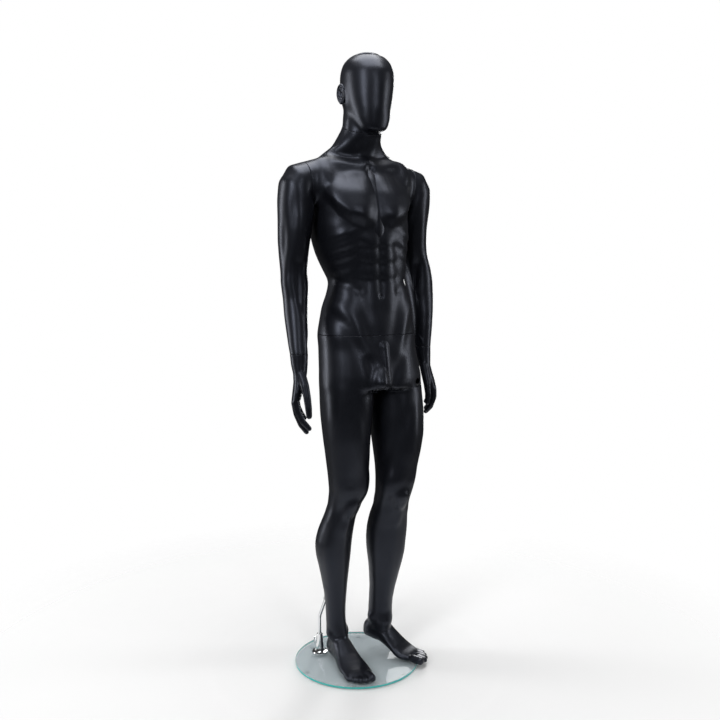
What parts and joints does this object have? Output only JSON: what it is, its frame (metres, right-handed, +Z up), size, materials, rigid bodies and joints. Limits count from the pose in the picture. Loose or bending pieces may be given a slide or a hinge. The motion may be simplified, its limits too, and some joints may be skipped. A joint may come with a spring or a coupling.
{
  "type": "full body display mannequin",
  "caption": "Standing adult egghead mannequin with twist-lock head, torso, arms, hands and thigh, held by a calf rod on a round glass base.",
  "frame": {"origin": "centre of the round base, on the floor under its clear feet", "axes": "+Z up; the figure faces -Y and its right side is towards -X"},
  "size_m": [0.5295, 0.38, 1.835],
  "materials": {
    "body_black": "satin black spray coat over moulded fibreglass",
    "inner_plate": "matt moulded plate",
    "fitting_steel": "plated steel",
    "chrome": "polished chrome plate",
    "glass": "clear tempered glass with a polished edge",
    "clear_rubber": "clear soft rubber"
  },
  "bodies": {
    "base": {"glass_disc": "glass", "base_bumpers": "clear_rubber", "base_flange": "chrome", "flange_gasket": "clear_rubber", "flange_screw": "fitting_steel", "screw_washer": "clear_rubber"},
    "thumbscrew": {"thumbscrew": "chrome"},
    "rod": {"support_rod": "chrome"},
    "figure": {"hips_right_leg_shell": "body_black", "calf_socket": "fitting_steel", "hips_waist_plate": "inner_plate", "waist_socket": "fitting_steel", "hips_thigh_plate": "inner_plate", "thigh_socket": "fitting_steel", "hips_screws": "fitting_steel"},
    "left_leg": {"left_leg_shell": "body_black", "left_leg_thigh_plate": "inner_plate", "thigh_spigot": "fitting_steel", "left_leg_screws": "fitting_steel"},
    "torso": {"torso_shell": "body_black", "torso_neck_plate": "inner_plate", "neck_socket": "fitting_steel", "torso_right_shoulder_plate": "inner_plate", "right_shoulder_socket": "fitting_steel", "torso_left_shoulder_plate": "inner_plate", "left_shoulder_socket": "fitting_steel", "torso_waist_plate": "inner_plate", "waist_spigot": "fitting_steel", "torso_screws": "fitting_steel"},
    "head": {"head_shell": "body_black", "head_neck_plate": "inner_plate", "neck_spigot": "fitting_steel", "head_screws": "fitting_steel"},
    "right_arm": {"right_arm_shell": "body_black", "right_arm_shoulder_plate": "inner_plate", "right_shoulder_spigot": "fitting_steel", "right_arm_wrist_plate": "inner_plate", "right_wrist_socket": "fitting_steel", "right_arm_screws": "fitting_steel"},
    "left_arm": {"left_arm_shell": "body_black", "left_arm_shoulder_plate": "inner_plate", "left_shoulder_spigot": "fitting_steel", "left_arm_wrist_plate": "inner_plate", "left_wrist_socket": "fitting_steel", "left_arm_screws": "fitting_steel"},
    "right_hand": {"right_hand": "body_black", "right_wrist_spigot": "fitting_steel", "right_hand_screws": "fitting_steel"},
    "left_hand": {"left_hand": "body_black", "left_wrist_spigot": "fitting_steel", "left_hand_screws": "fitting_steel"}
  },
  "joints": [
    {"name": "rod_turn", "type": "hinge", "parent": "base", "child": "rod", "pos_m": [-0.085, 0.087, 0.05], "axis": [0, 0, 1], "range_deg": [-40, 40]},
    {"name": "lift_off", "type": "slide", "parent": "rod", "child": "figure", "axis": [0.1792, -0.3104, 0.9336], "range_m": [0, 0.09]},
    {"name": "waist_turn", "type": "hinge", "parent": "figure", "child": "torso", "pos_m": [0.03, -0.008, 1.025], "axis": [0, 0, 1], "range_deg": [-45, 45]},
    {"name": "neck_turn", "type": "hinge", "parent": "torso", "child": "head", "pos_m": [0.013, -0.01, 1.619], "axis": [0, -0.3338, 0.9426], "range_deg": [-70, 70]},
    {"name": "right_shoulder_turn", "type": "hinge", "parent": "torso", "child": "right_arm", "pos_m": [-0.158, 0.016, 1.46], "axis": [-0.9925, 0, -0.1219], "range_deg": [-25, 80]},
    {"name": "left_shoulder_turn", "type": "hinge", "parent": "torso", "child": "left_arm", "pos_m": [0.18, 0.016, 1.46], "axis": [-0.9925, 0, 0.1219], "range_deg": [-25, 80]},
    {"name": "right_wrist_turn", "type": "hinge", "parent": "right_arm", "child": "right_hand", "pos_m": [-0.203, -0.034, 0.976], "axis": [0, 0, 1], "range_deg": [-60, 60]},
    {"name": "left_wrist_turn", "type": "hinge", "parent": "left_arm", "child": "left_hand", "pos_m": [0.242, 0.014, 0.976], "axis": [0, 0, 1], "range_deg": [-15, 45]},
    {"name": "left_thigh_turn", "type": "hinge", "parent": "figure", "child": "left_leg", "pos_m": [0.122, -0.02, 0.866], "axis": [0, 0, 1], "range_deg": [-15, 15]},
    {"name": "thumbscrew_turn", "type": "hinge", "parent": "base", "child": "thumbscrew", "pos_m": [-0.085, 0.087, 0.0518], "axis": [-0.8829, 0.4695, 0], "range_deg": [0, 360]}
  ]
}
